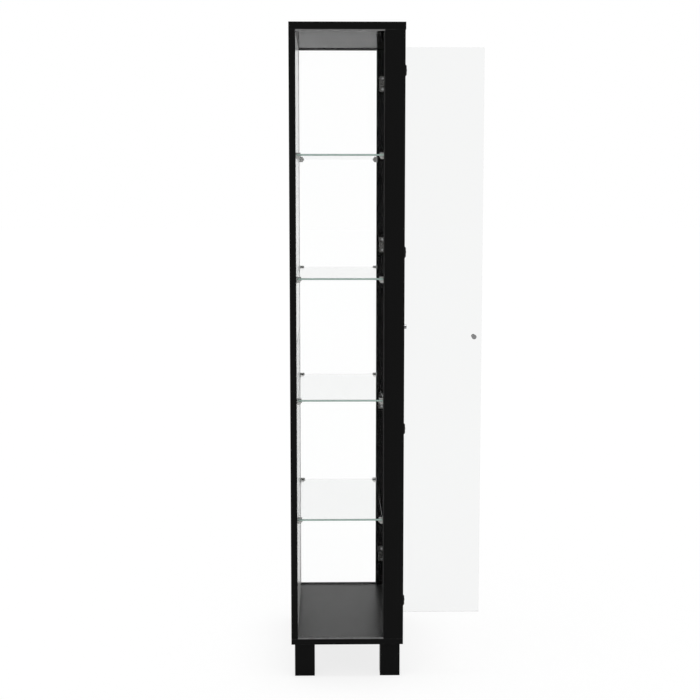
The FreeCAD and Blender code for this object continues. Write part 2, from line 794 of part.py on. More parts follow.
def hinge_pins(side):
    """Pins that turn in the arms' barrels."""
    name = f"{SIDES[side]}_hinge_pin"
    master = rod(name, "z", ("0", "0", "-1 * ear_high"), "hinge_pin_radius", "2 * ear_high")
    carrier = group(name + "_carrier", [master])
    pins = group(name + "_group", copies(name + "_copy", carrier, hinge_heights()))
    node(f"{SIDES[side]}_hinge_pins", door_place(pins, side))


def hinge_caps(side):
    """Rounded square caps over the cups, on the outside of the glass."""
    name = f"{SIDES[side]}_hinge_cap"
    half = "cap_width / 2"
    cap = prism(name + "_block", "xz",
                rectangle(f"-1 * {half}", f"-1 * {half}", half, half), "cap_thickness")
    along_y = FreeCAD.Vector(0, 1, 0)
    fillet(cap, "cap_corner", lambda edge: is_along(edge, along_y))
    middle = cap.Shape.BoundBox.Center.y
    fillet(cap, "cap_round", lambda edge: edge.BoundBox.YMax < middle)
    spots = [("0", "-1 * pivot_depth", z) for _, _, z in hinge_heights()]
    caps = group(name + "_group", copies(name + "_copy", cap, spots))
    node(f"{SIDES[side]}_hinge_caps", door_place(caps, side))


def hinge_mounts(side):
    """Mounting plates on the stile, their screws, and the cranked arms that carry the hinge pins.

    Each arm leaves its plate behind the open door's edge and turns forward to the pin.
    """
    name = f"{SIDES[side]}_hinge"
    half = "plate_height / 2"
    face = f"{side} * inner_half"
    inside = f"{side} * (inner_half - plate_thickness)"
    along_x = FreeCAD.Vector(1, 0, 0)

    plate = prism(name + "_plate_blank", "yz",
                  rectangle("front_y + plate_setback", f"-1 * {half}",
                            "front_y + plate_setback + plate_width", half), "plate_thickness",
                  [(plate_y(), f"{end} * plate_screw_spacing / 2", "screw_radius + hole_clearance")
                   for end in (-1, 1)])
    fillet(plate, "plate_corner", lambda edge: is_along(edge, along_x))
    low = face if side == LEFT else inside
    spots = [(low, "0", z) for _, _, z in hinge_heights()]
    node(f"{name}_plates", group(name + "_plate_group", copies(name + "_plate", plate, spots)))

    inner = f"{side} * (pivot_x + arm_leg_offset)"
    outer = f"{side} * (pivot_x - barrel_radius)"
    bevel = f"{side} * (pivot_x - barrel_radius + arm_bevel)"
    back = "front_y + arm_setback + arm_foot_width"
    outline = [(inside, "front_y + arm_setback"), (inner, "front_y + arm_setback"), (inner, "pivot_y"),
               (outer, "pivot_y"), (outer, f"{back} - arm_bevel"), (bevel, back), (inside, back)]
    leg = place(prism(name + "_arm_leg", "xy", outline, "barrel_height"), z="-1 * barrel_height / 2")
    pivot = (f"{side} * pivot_x", "pivot_y")
    barrel = rod(name + "_barrel", "z", (*pivot, "-1 * barrel_height / 2"), "barrel_radius",
                 "barrel_height")
    bore = rod(name + "_bore", "z", (*pivot, "-1 * barrel_height / 2 - overrun"), "pin_hole_radius",
               "barrel_height + 2 * overrun")
    arm = cut(name + "_arm_bored", fuse(name + "_arm_body", [leg, barrel]), [bore])
    node(f"{name}_arms", group(name + "_arm_group", copies(name + "_arm", arm, hinge_heights())))

    screw = plate_screw(name, side)
    spots = [(inside, plate_y(), z) for z in screw_heights()]
    node(f"{name}_screws", group(name + "_screw_group", copies(name + "_screw", screw, spots)))


def plate_screw(name, side):
    """Round-headed screw, drawn from the seat of its head, with its shank towards the stile."""
    profile = [("0", "screw_head_height"), ("screw_head_radius - screw_head_round", "screw_head_height"),
               ("screw_head_radius", "screw_head_height - screw_head_round"), ("screw_head_radius", "0"),
               ("screw_radius", "0"), ("screw_radius", "-1 * (screw_length + plate_thickness)"),
               ("0", "-1 * (screw_length + plate_thickness)")]
    section = [(f"{-side} * ({out})", across) for across, out in profile]
    return turned(name + "_screw_blank", section, "x")


def turned(name, profile, axis):
    """A body turned about the X or Y axis from half of its section."""
    body = doc.addObject("PartDesign::Body", name)
    drawing = sketch(body, name + "_section", "xy")
    draw_outline(drawing, profile)
    spin = body.newObject("PartDesign::Revolution", name + "_spin")
    spin.Profile = drawing
    spin.ReferenceAxis = (drawing, ["H_Axis" if axis == "x" else "V_Axis"])
    doc.recompute()
    return body


def knobs(side):
    """Turned knob with its screw and washers."""
    name = f"{SIDES[side]}_knob"
    x = along_door(side, "knob_x")
    tip = "knob_projection - washer_thickness"
    head = f"{tip} - knob_head_height"
    profile = [("0", "0"), ("knob_base_radius", "0"), ("knob_base_radius", "knob_base_height"),
               ("knob_neck_radius", "2 * knob_base_height"),
               ("knob_neck_radius", f"{head} - knob_flare"), ("knob_radius", head),
               ("knob_radius", f"{tip} - knob_dome"), ("0", tip)]
    blank = turned(name + "_blank", [(across, f"-1 * ({out})") for across, out in profile], "y")
    rim = [edge for edge in blank.Shape.Edges if edge.Curve.TypeId == "Part::GeomCircle"]
    widest = max(edge.Curve.Radius for edge in rim)
    fillet(blank, "knob_round", lambda edge: edge.Curve.TypeId == "Part::GeomCircle"
           and edge.Curve.Radius > widest - edge.Tolerance)
    thread = rod(name + "_thread", "y", ("0", "-1 * knob_thread_depth", "0"),
                 "knob_screw_radius + hole_clearance", "knob_thread_depth + overrun")
    knob = cut(name + "_bored", blank, [thread])
    knob = group(name + "_turned", copies(name + "_copy", knob, [(x, "-1 * knob_seat", "knob_z")]))
    node(name, door_place(knob, side))

    shank = rod(name + "_shank", "y", (x, "-1 * knob_seat - knob_screw_grip", "knob_z"),
                "knob_screw_radius", "door_thickness + 2 * washer_thickness + knob_screw_grip")
    head = rod(name + "_screw_head", "y", (x, "glass_back + washer_thickness", "knob_z"),
               "knob_screw_head_radius", "knob_screw_head_height")
    node(f"{name}_screw", door_place(fuse(name + "_screw_body", [shank, head]), side))

    rings = []
    for end, y in (("outer", "-1 * knob_seat"), ("inner", "glass_back")):
        disc = rod(f"{name}_{end}_disc", "y", (x, y, "knob_z"), "washer_radius", "washer_thickness")
        hole = rod(f"{name}_{end}_disc_hole", "y", (x, f"{y} - overrun", "knob_z"),
                   "knob_screw_radius + hole_clearance", "washer_thickness + 2 * overrun")
        rings.append(cut(f"{name}_{end}_washer", disc, [hole]))
    node(f"{name}_washers", door_place(group(name + "_washer_group", rings), side))


def door_stops():
    """Stop strips on the rails behind the doors' meeting edges, with a soft pad for each door."""
    pads = []
    ends = {"top": ("head_z - top_rail_height", -1), "bottom": ("deck_z + bottom_rail_height", 1)}
    for end, (seat, inward) in ends.items():
        near = "stop_setback"
        far = "stop_setback + stop_depth"
        tall = f"{inward} * stop_height"
        corners = [(near, "0"), (far, "0"), (far, f"{inward} * (stop_height - stop_bevel)"),
                   (f"{far} - stop_bevel", tall), (near, tall)]
        strip = prism(f"{end}_stop_strip", "yz", corners, "stop_length")
        place(strip, "-1 * stop_length / 2", "front_y", seat)
        node(f"{end}_door_stop", strip)
        for side in SIDES:
            pads.append(rod(f"{end}_{SIDES[side]}_pad", "y",
                            (f"{side} * pad_spread", "front_y + door_thickness + pad_clearance",
                             f"{seat} + {inward} * (door_gap + pad_edge_gap + pad_radius)"),
                            "pad_radius", "stop_setback - door_thickness - pad_clearance"))
    node("door_stop_pads", group("door_stop_pad_group", pads))


def build():
    """Makes every sub-part."""
    panels()
    for side in SIDES:
        rear_stile(side)
        front_stile(side)
    rails()
    dowels()
    legs()
    for side in SIDES:
        side_glazing(side)
    back_panels()
    shelves()
    for side in SIDES:
        hinge_mounts(side)
        door_glass(side)
        hinge_cups(side)
        hinge_pins(side)
        hinge_caps(side)
        knobs(side)
    door_stops()
    doc.recompute()


def check():
    """Stops if any object failed or any sub-part isn't a sound solid."""
    failed = [thing.Name for thing in doc.Objects if {"Invalid", "Error"} & set(thing.State)]
    if failed:
        raise RuntimeError(f"failed objects: {failed}")
    for part in nodes:
        if part.Shape.isNull() or not part.Shape.isValid() or not part.Shape.Solids:
            raise RuntimeError(f"unsound shape: {part.Label}")


def write_steps():
    os.makedirs("parts", exist_ok=True)
    for part in nodes:
        part.Shape.exportStep(f"parts/{part.Label}.step")
        print(f"{part.Label}: {len(part.Shape.Solids)} solids, {part.Shape.Volume:.0f} mm3")


write_sheet()
build()
check()
write_steps()
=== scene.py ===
import json
import math

import bmesh
import bpy
import numpy as np
from bpy.props import FloatProperty, FloatVectorProperty, IntProperty, PointerProperty
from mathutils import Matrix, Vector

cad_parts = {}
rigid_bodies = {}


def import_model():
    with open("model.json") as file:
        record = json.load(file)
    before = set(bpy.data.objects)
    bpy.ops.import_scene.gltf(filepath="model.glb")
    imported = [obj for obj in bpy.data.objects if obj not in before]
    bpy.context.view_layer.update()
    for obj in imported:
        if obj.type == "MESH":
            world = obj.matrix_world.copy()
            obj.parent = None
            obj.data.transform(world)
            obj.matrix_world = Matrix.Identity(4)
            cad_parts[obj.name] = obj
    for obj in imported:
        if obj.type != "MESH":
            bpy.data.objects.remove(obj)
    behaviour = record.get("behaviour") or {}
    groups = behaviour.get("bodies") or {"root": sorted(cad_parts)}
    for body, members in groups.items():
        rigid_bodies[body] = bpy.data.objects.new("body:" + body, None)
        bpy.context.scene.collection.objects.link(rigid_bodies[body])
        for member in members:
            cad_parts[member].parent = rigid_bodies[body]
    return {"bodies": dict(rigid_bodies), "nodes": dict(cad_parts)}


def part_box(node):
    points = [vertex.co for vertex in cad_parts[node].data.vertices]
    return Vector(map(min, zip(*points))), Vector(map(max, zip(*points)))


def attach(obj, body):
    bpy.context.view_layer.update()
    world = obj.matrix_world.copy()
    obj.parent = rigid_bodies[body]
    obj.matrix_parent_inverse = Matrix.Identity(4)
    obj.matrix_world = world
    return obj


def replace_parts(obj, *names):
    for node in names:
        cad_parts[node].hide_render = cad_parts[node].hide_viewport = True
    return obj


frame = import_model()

bl_info = {
    "name": "Bookcase with glass doors",
    "version": (1, 0, 0),
    "blender": (4, 5, 0),
    "location": "3D View > Sidebar > Bookcase",
    "description": "Finishes, glass edges, screws and stage of a tall glazed bookcase",
    "category": "Object",
}

MM = 0.001
SIDES = ("left", "right")
SHELF_COUNT = 4
AXIS_X, AXIS_Y, AXIS_Z = range(3)

# Angle past which an edge of a new piece is sharp
SHARP_ANGLE = math.radians(32.0)
# Band of a rim's section that is ground
GROUND_BAND = 1
# How far the rounding of a grip's tip turns before it is closed flat
TIP_TURN = math.radians(80.0)
# Rings on a screw's dome, how far its arch falls, and the share of the head's height under the arch
DOME_RINGS = 14
DOME_FALL = 0.95
DOME_BASE_SHARE = 0.4
# Shares of a screw head's radius where its cross begins to fade and where it ends
CROSS_FADE_SHARES = (0.5333, 0.7556)
# How much rougher lacquer is in its patches, and where it is rubbed
PATCH_ROUGHNESS = 0.05
RUBBED_ROUGHNESS = 0.2
# How far the roughness of metal and of plastic strays to either side
PLATED_SPREAD = 0.06
MOULDED_SPREAD = 0.05


# Settings

def colour(name, description, default):
    """A colour property."""
    return FloatVectorProperty(name=name, description=description, subtype="COLOR", size=3,
                               default=default, min=0.0, max=1.0)


def length(name, description, default):
    """A length property, in metres."""
    return FloatProperty(name=name, description=description, subtype="DISTANCE", unit="LENGTH",
                         default=default, min=0.0, precision=5)


def share(name, description, default, high=1.0):
    """A property from 0 to a plain limit."""
    return FloatProperty(name=name, description=description, subtype="FACTOR", default=default,
                         min=0.0, max=high)


def refraction(name, description, default):
    """An index of refraction."""
    return FloatProperty(name=name, description=description, default=default, min=1.0)


class BookcaseFinish(bpy.types.PropertyGroup):
    """Colours and gloss of the finishes."""

    lacquer: colour("Lacquer", "Black of the lacquered boards", (0.0055, 0.0055, 0.0055))
    # Lighter grey along the lacquer's edges: partly rubbed wear, partly a painted highlight.
    worn_and_highlit_grey: colour("Worn lacquer", "Grey of the lacquer along a rubbed edge", (0.03, 0.03, 0.03))
    gloss: share("Lacquer roughness", "Roughness of the lacquer where it is smoothest", 0.1)
    lacquer_ior: refraction("Lacquer refraction", "Refraction of the bare lacquer", 1.03)
    polish: share("Polish", "Weight of the polished coat on faces that look up", 0.67)
    pane: colour("Panes", "Tint of the fixed panes", (0.996, 0.998, 0.997))
    shelf: colour("Shelves", "Tint of the glass shelves", (0.885, 0.892, 0.889))
    door: colour("Doors", "Tint of the glass doors", (0.914, 0.919, 0.917))
    pane_ior: refraction("Pane glass", "Refraction of the clear panes", 1.1)
    door_ior: refraction("Door glass", "Refraction of the doors", 1.15)
    shelf_ior: refraction("Shelf glass", "Refraction of the shelves", 1.45)
    shelf_edge: colour("Shelf edges", "Green of the shelves' ground edges", (0.41, 0.54, 0.49))
    door_edge: colour("Door edges", "Green of the doors' ground edges", (0.44, 0.55, 0.51))
    # Grey of the front sealing beads, lighter than the lacquer: partly the rubber's own colour, partly a
    # painted highlight along the front stiles' rear edges.
    bead: colour("Bead", "Grey of the sealing bead beside the panes", (0.02, 0.02, 0.02))
    upper_back: colour("Upper back", "Paint of the upper back panel", (0.96, 0.96, 0.955))
    # The lower back panel's greyer tone is painted shade over the same white paint as the upper panel.
    lower_back: colour("Lower back", "Paint of the lower back panel", (0.7, 0.7, 0.695))
    white: colour("White plastic", "Strip and sealing beads of the back panels", (0.9, 0.9, 0.895))
    nickel: colour("Nickel", "Plated castings of the hinges", (0.13, 0.128, 0.124))
    bracket: colour("Brackets", "Plated brackets under the shelves", (0.33, 0.33, 0.32))
    grip: colour("Grips", "Soft grey grips between the brackets and the shelves", (0.33, 0.33, 0.325))
    zinc: colour("Zinc", "Plated screws, studs and pins", (0.42, 0.425, 0.43))
    cap: colour("Caps", "Moulded caps and washers", (0.004, 0.004, 0.004))
    gunmetal: colour("Knobs", "Dark polished metal of the knobs", (0.24, 0.24, 0.245))
    channel: colour("Channels", "Anodised glazing channels", (0.16, 0.16, 0.16))
    beech: colour("Dowels", "Raw beech of the dowels", (0.56, 0.39, 0.23))
    pad: colour("Pads", "Soft pads of the door stops", (0.62, 0.64, 0.64))
    dust: colour("Dust", "Dust on faces that look up", (0.5, 0.49, 0.47))


class BookcaseDetail(bpy.types.PropertyGroup):
    """Sizes of what is added to the solids."""

    # Width of the edge band that shows rubbed wear and a painted highlight.
    wear_and_highlight_width: length("Edge wear", "How far a rubbed edge reaches over a board", 1.6 * MM)
    arris: length("Arris", "Bevel along the edges of shelves and doors", 0.6 * MM)
    skin: length("Rim skin", "How far a ground rim stands proud of the glass", 0.05 * MM)
    depth: length("Rim depth", "How far a ground rim reaches into the glass", 0.5 * MM)
    shelf_corner: length("Shelf corner", "Radius of the shelves' corners", 3.0 * MM)
    door_corner: length("Door corner", "Radius of the doors' corners", 0.4 * MM)
    bead: length("Bead", "Leg of the sealing bead along a front stile", 2.4 * MM)
    grip: length("Grip", "How far a grip reaches over its shelf", 13.0 * MM)
    grip_width: length("Grip width", "Width of the clip inside a grip", 10.0 * MM)
    grip_wall: length("Grip wall", "How far a grip stands round its clip", 0.25 * MM)
    grip_corner: length("Grip corner", "Radius of a grip's edges", 0.9 * MM)
    head: length("Screw head", "Radius of a hinge screw's head", 3.6 * MM)
    rise: length("Screw rise", "Height of a hinge screw's head", 1.8 * MM)
    shank: length("Screw shank", "Radius of a hinge screw's shank", 1.75 * MM)
    recess: length("Recess depth", "Depth of the cross in a screw's head", 1.1 * MM)
    slot: length("Recess width", "Half width of the cross in a screw's head", 0.55 * MM)
    turns: IntProperty(name="Turns", description="Steps round a screw", default=48, min=8)
    arcs: IntProperty(name="Arcs", description="Points in a quarter turn", default=6, min=2)


class BookcaseStage(bpy.types.PropertyGroup):
    """Floor, light and camera."""

    reach: length("Floor reach", "Half the width of the floor", 40.0)
    floor: colour("Floor", "Pale floor", (0.93, 0.93, 0.93))
    white: share("White floor", "Share of the floor that shows as plain white", 0.81)
    ambient: share("Ambient", "Strength of the light from all round", 0.6, 2.0)
    key: share("Key", "Strength of the light overhead", 1.55, 10.0)
    spread: FloatProperty(name="Spread", description="How wide the light overhead is", subtype="ANGLE",
                          unit="ROTATION", default=math.radians(12.0), min=0.0)
    place: FloatVectorProperty(name="Camera", description="Where the camera stands", subtype="XYZ",
                               unit="LENGTH", size=3, default=(-4.0199, 0.1652, 1.3666))
    turn: FloatVectorProperty(name="Camera turn", description="Way the camera points", subtype="EULER",
                              unit="ROTATION", size=3,
                              default=(math.pi / 2 - 0.1180, 0.0, -math.pi / 2 - 0.0175))
    lens: FloatProperty(name="Lens", description="Focal length in millimetres", default=71.145, min=1.0)


# Node trees

def feed(tree, value, target):
    """Links a socket to the target, or sets a plain value on it."""
    if isinstance(value, bpy.types.NodeSocket):
        tree.links.new(value, target)
    else:
        target.default_value = value


def node(tree, kind, sockets=None, **options):
    """A shader node with its options set and its sockets fed."""
    made = tree.nodes.new("ShaderNode" + kind)
    for option, value in options.items():
        setattr(made, option, value)
    for name, value in (sockets or {}).items():
        feed(tree, value, made.inputs[name])
    return made


def maths(tree, operation, first, second):
    """Output of a Math node."""
    return node(tree, "Math", {0: first, 1: second}, operation=operation).outputs[0]


def vector_maths(tree, operation, first, second):
    """Output of a Vector Math node."""
    return node(tree, "VectorMath", {0: first, 1: second}, operation=operation).outputs[0]


def ramp(tree, value, start, end, low=0.0, high=1.0):
    """A value carried smoothly from start and end to low and high, and held outside them."""
    limits = {"Value": value, "From Min": start, "From Max": end, "To Min": low, "To Max": high}
    return node(tree, "MapRange", limits, interpolation_type="SMOOTHSTEP").outputs[0]


def between(tree, part, low, high):
    """A value that goes smoothly from low to high as a part goes from 0 to 1."""
    return ramp(tree, part, 0.0, 1.0, low, high)


def shade(base, level=1.0):
    """A colour with alpha, made lighter or darker."""
    return (*(channel * level for channel in base), 1.0)


def mix(tree, part, first, second):
    """Colour mixed from two."""
    made = node(tree, "Mix", data_type="RGBA")
    colours = [socket for socket in made.inputs if socket.type == "RGBA"]
    feed(tree, part, made.inputs[0])
    feed(tree, first, colours[0])
    feed(tree, second, colours[1])
    return next(socket for socket in made.outputs if socket.type == "RGBA")


def mottled(tree, part, base, dark, light):
    """A colour that goes from a darker to a lighter level of itself as a part goes from 0 to 1."""
    return mix(tree, part, shade(base, dark), shade(base, light))


def noise(tree, place, scale, detail):
    """Noise with that many features a metre."""
    return node(tree, "TexNoise", {"Vector": place, "Scale": scale, "Detail": detail}).outputs[0]


def object_place(tree):
    """Object coordinates, which are metres in the shared frame."""
    return node(tree, "TexCoord").outputs["Object"]


def facing_up(tree):
    """1 on faces that look up, 0 on upright ones and -1 on faces that look down."""
    normal = node(tree, "NewGeometry").outputs["Normal"]
    return node(tree, "SeparateXYZ", {0: normal}).outputs["Z"]


def bump(tree, height, strength, distance):
    """Normal of a bump."""
    return node(tree, "Bump", {"Height": height, "Strength": strength, "Distance": distance}).outputs[0]


# Effects that materials share

def effect_tree(name, inputs, outputs):
    """An empty group with inputs of (kind, name, default) and plain numbers out."""
    tree = bpy.data.node_groups.new(name, "ShaderNodeTree")
    for kind, label, default in inputs:
        socket = tree.interface.new_socket(label, in_out="INPUT", socket_type="NodeSocket" + kind)
        socket.default_value = default
    for label in outputs:
        tree.interface.new_socket(label, in_out="OUTPUT", socket_type="NodeSocketFloat")
    return tree, tree.nodes.new("NodeGroupInput").outputs, tree.nodes.new("NodeGroupOutput").inputs


def worn_and_highlit_edges(name):
    """Mask that is 1 where a point lies near two faces of the box from Low to High.

    It fades out over Width from a face, and noise breaks it up. The lacquer uses it for rubbed wear and
    for a painted highlight along its edges.
    """
    inputs = [("Vector", "Low", (0, 0, 0)), ("Vector", "High", (1, 1, 1)), ("Float", "Width", MM)]
    tree, given, result = effect_tree(name, inputs, ["Mask"])
    place = object_place(tree)
    above = vector_maths(tree, "SUBTRACT", place, given["Low"])
    below = vector_maths(tree, "SUBTRACT", given["High"], place)
    nearest = node(tree, "SeparateXYZ", {0: vector_maths(tree, "MINIMUM", above, below)}).outputs
    x, y, z = (ramp(tree, axis, 0.0, given["Width"], low=1.0, high=0.0) for axis in nearest)
    upright = maths(tree, "MULTIPLY", x, y)
    level = maths(tree, "MULTIPLY", z, maths(tree, "MAXIMUM", x, y))
    broken = ramp(tree, noise(tree, place, scale=55.0, detail=4.0), start=0.38, end=0.66)
    edges = maths(tree, "MAXIMUM", upright, level)
    feed(tree, maths(tree, "MULTIPLY", edges, broken), result["Mask"])
    return tree


def fine_relief(name):
    """Height of a fine even relief, and Patches that drift slowly over the surface."""
    inputs = [("Float", "Grain", 700.0), ("Float", "Drift", 8.0)]
    tree, given, result = effect_tree(name, inputs, ["Height", "Patches"])
    place = object_place(tree)
    drifts = noise(tree, place, given["Drift"], detail=3.0)
    feed(tree, noise(tree, place, given["Grain"], detail=2.0), result["Height"])
    feed(tree, ramp(tree, drifts, start=0.3, end=0.7), result["Patches"])
    return tree


def drawn_lines(name):
    """Lines with as many features a metre along each axis as Stretch says."""
    tree, given, result = effect_tree(name, [("Vector", "Stretch", (1, 1, 1))], ["Lines"])
    place = vector_maths(tree, "MULTIPLY", object_place(tree), given["Stretch"])
    feed(tree, noise(tree, place, scale=1.0, detail=4.0), result["Lines"])
    return tree


def rubbed_coat(name):
    """Weight of a polished coat, Full on faces that look up and none on faces that look down."""
    tree, given, result = effect_tree(name, [("Float", "Full", 0.5)], ["Weight"])
    part = ramp(tree, facing_up(tree), start=-0.25, end=1.0)
    feed(tree, maths(tree, "MULTIPLY", part, given["Full"]), result["Weight"])
    return tree


def settled_dust(name):
    """Mask of loose drifts on faces that look up."""
    tree, given, result = effect_tree(name, [("Float", "Amount", 0.2)], ["Mask"])
    upward = ramp(tree, facing_up(tree), start=0.7, end=1.0)
    drifts = ramp(tree, noise(tree, object_place(tree), scale=30.0, detail=5.0), start=0.35, end=0.75)
    lying = maths(tree, "MULTIPLY", upward, drifts)
    feed(tree, maths(tree, "MULTIPLY", lying, given["Amount"]), result["Mask"])
    return tree


def effect(tree, build, **sockets):
    """Outputs of a shared effect, whose group is built the first time it is asked for."""
    name = build.__name__
    placed = node(tree, "Group", node_tree=bpy.data.node_groups.get(name) or build(name))
    for label, value in sockets.items():
        feed(tree, value, placed.inputs[label])
    return placed.outputs


# Finishes

def new_material(name, **constants):
    """A material, its tree and its Principled sockets, with the constants set on them."""
    material = bpy.data.materials.new(name)
    material.use_nodes = True
    sockets = material.node_tree.nodes["Principled BSDF"].inputs
    for socket, value in constants.items():
        sockets[socket.replace("_", " ")].default_value = value
    return material, material.node_tree, sockets


def lacquer(name):
    """Sprayed black lacquer: faint orange peel, a polished coat, edges greyed by rubbed wear and a
    painted highlight, and a little dust.
    """
    finish = bpy.context.scene.bookcase_finish
    low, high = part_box(name)
    material, tree, shader = new_material("lacquer_" + name, IOR=finish.lacquer_ior, Coat_Roughness=0.4)
    relief = effect(tree, fine_relief, Grain=420.0, Drift=7.0)
    wear_and_highlight_width = bpy.context.scene.bookcase_detail.wear_and_highlight_width
    edge_wear_and_highlight = effect(tree, worn_and_highlit_edges, Low=low, High=high, Width=wear_and_highlight_width)["Mask"]
    dust = effect(tree, settled_dust, Amount=0.012)["Mask"]
    # Lighter grey along the edges: rubbed wear and a painted highlight.
    body = mix(tree, edge_wear_and_highlight, shade(finish.lacquer), shade(finish.worn_and_highlit_grey))
    feed(tree, mix(tree, dust, body, shade(finish.dust)), shader["Base Color"])
    smooth = between(tree, relief["Patches"], finish.gloss, finish.gloss + PATCH_ROUGHNESS)
    dull = maths(tree, "MULTIPLY", edge_wear_and_highlight, RUBBED_ROUGHNESS)
    feed(tree, maths(tree, "ADD", smooth, dull), shader["Roughness"])
    feed(tree, effect(tree, rubbed_coat, Full=finish.polish)["Weight"], shader["Coat Weight"])
    feed(tree, bump(tree, relief["Height"], strength=0.1, distance=0.03 * MM), shader["Normal"])
    return material


def painted_board(name, base):
    """White paint over hardboard: a soft roller texture and slow clouding."""
    material, tree, shader = new_material(name, IOR=1.45)
    relief = effect(tree, fine_relief, Grain=650.0, Drift=5.0)
    feed(tree, mottled(tree, relief["Patches"], base, dark=0.98, light=1.02), shader["Base Color"])
    feed(tree, between(tree, relief["Patches"], low=0.18, high=0.26), shader["Roughness"])
    feed(tree, bump(tree, relief["Height"], strength=0.15, distance=0.03 * MM), shader["Normal"])
    return material


def glass(name, tint, ior):
    """Clear glass with a slow ripple. Lamps and scattered light pass straight through it."""
    material, tree, shader = new_material(name, IOR=ior, Transmission_Weight=1.0, Roughness=0.0)
    relief = effect(tree, fine_relief, Grain=9.0, Drift=3.0)
    feed(tree, mottled(tree, relief["Patches"], tint, dark=0.997, light=1.0), shader["Base Color"])
    feed(tree, bump(tree, relief["Height"], strength=0.02, distance=0.2 * MM), shader["Normal"])
    path = node(tree, "LightPath").outputs
    through = maths(tree, "MAXIMUM", path["Is Shadow Ray"], path["Is Diffuse Ray"])
    solid = tree.nodes["Principled BSDF"].outputs[0]
    clear = node(tree, "BsdfTransparent", {"Color": shade(tint)}).outputs[0]
    mixed = node(tree, "MixShader", {0: through, 1: solid, 2: clear}).outputs[0]
    feed(tree, mixed, tree.nodes["Material Output"].inputs["Surface"])
    return material


def ground_edge(name, tint):
    """Ground edge of a glass plate, streaked along by the wheel.

    It is clear to a look from inside the glass.
    """
    material, tree, shader = new_material(name, IOR=1.3)
    lines = effect(tree, drawn_lines, Stretch=(30.0, 30.0, 2600.0))["Lines"]
    relief = effect(tree, fine_relief, Grain=1600.0, Drift=12.0)
    feed(tree, mottled(tree, lines, tint, dark=0.92, light=1.08), shader["Base Color"])
    feed(tree, between(tree, relief["Patches"], low=0.3, high=0.42), shader["Roughness"])
    feed(tree, bump(tree, relief["Height"], strength=0.15, distance=0.02 * MM), shader["Normal"])
    behind = node(tree, "NewGeometry").outputs["Backfacing"]
    ground = tree.nodes["Principled BSDF"].outputs[0]
    clear = node(tree, "BsdfTransparent").outputs[0]
    mixed = node(tree, "MixShader", {0: behind, 1: ground, 2: clear}).outputs[0]
    feed(tree, mixed, tree.nodes["Material Output"].inputs["Surface"])
    return material


def clear_wall(name):
    """Wall of a rim inside its glass, which doesn't show."""
    return new_material(name, Alpha=0.0)[0]


def plated(name, base, rough, stretch, relief_depth=0.03 * MM):
    """Plated metal: uneven plating over a fine relief drawn out by stretch."""
    material, tree, shader = new_material(name, Metallic=1.0)
    relief = effect(tree, fine_relief, Grain=900.0, Drift=60.0)
    lines = effect(tree, drawn_lines, Stretch=stretch)["Lines"]
    roughness = ramp(tree, lines, start=0.2, end=0.8,
                     low=rough - PLATED_SPREAD, high=rough + PLATED_SPREAD)
    height = maths(tree, "ADD", relief["Height"], lines)
    feed(tree, mottled(tree, relief["Patches"], base, dark=0.84, light=1.12), shader["Base Color"])
    feed(tree, roughness, shader["Roughness"])
    feed(tree, bump(tree, height, strength=0.2, distance=relief_depth), shader["Normal"])
    return material


def moulded(name, base, rough):
    """Moulded plastic or rubber with a sparked grain and a little dust."""
    material, tree, shader = new_material(name, IOR=1.3)
    relief = effect(tree, fine_relief, Grain=2200.0, Drift=90.0)
    dust = effect(tree, settled_dust, Amount=0.03)["Mask"]
    body = mottled(tree, relief["Patches"], base, dark=0.97, light=1.03)
    dusty = mix(tree, dust, body, shade(bpy.context.scene.bookcase_finish.dust))
    roughness = between(tree, relief["Patches"], rough - MOULDED_SPREAD, rough + MOULDED_SPREAD)
    feed(tree, dusty, shader["Base Color"])
    feed(tree, roughness, shader["Roughness"])
    feed(tree, bump(tree, relief["Height"], strength=0.25, distance=0.04 * MM), shader["Normal"])
    return material


def turned(name, base, centre, axis):
    """Polished metal with the fine rings of a lathe about an axis through its centre."""
    material, tree, shader = new_material(name, Metallic=1.0)
    place = vector_maths(tree, "SUBTRACT", object_place(tree), centre)
    rings = node(tree, "TexWave", {"Vector": place, "Scale": 900.0, "Distortion": 0.6},
                 wave_type="RINGS", rings_direction=axis).outputs[1]
    relief = effect(tree, fine_relief, Grain=500.0, Drift=120.0)
    feed(tree, mottled(tree, relief["Patches"], base, dark=0.9, light=1.1), shader["Base Color"])
    feed(tree, between(tree, rings, low=0.14, high=0.22), shader["Roughness"])
    feed(tree, bump(tree, rings, strength=0.08, distance=0.01 * MM), shader["Normal"])
    return material


def timber(name, base, stretch):
    """Raw timber with its grain drawn along the dowel."""
    material, tree, shader = new_material(name, IOR=1.45)
    grain = ramp(tree, effect(tree, drawn_lines, Stretch=stretch)["Lines"], start=0.3, end=0.7)
    relief = effect(tree, fine_relief, Grain=1200.0, Drift=40.0)
    feed(tree, mottled(tree, grain, base, dark=0.72, light=1.08), shader["Base Color"])
    feed(tree, between(tree, relief["Patches"], low=0.55, high=0.7), shader["Roughness"])
    feed(tree, bump(tree, grain, strength=0.3, distance=0.05 * MM), shader["Normal"])
    return material


def dress(material, *names):
    """Gives CAD nodes their finish."""
    for name in names:
        finishes = frame["nodes"][name].data.materials
        finishes.clear()
        finishes.append(material)


def both(ending):
    """Names of a piece on the left and on the right."""
    return [f"{side}_{ending}" for side in SIDES]


# Surfaces

def add_object(name, data):
    """An object at the origin of the scene."""
    made = bpy.data.objects.new(name, data)
    bpy.context.scene.collection.objects.link(made)
    return made


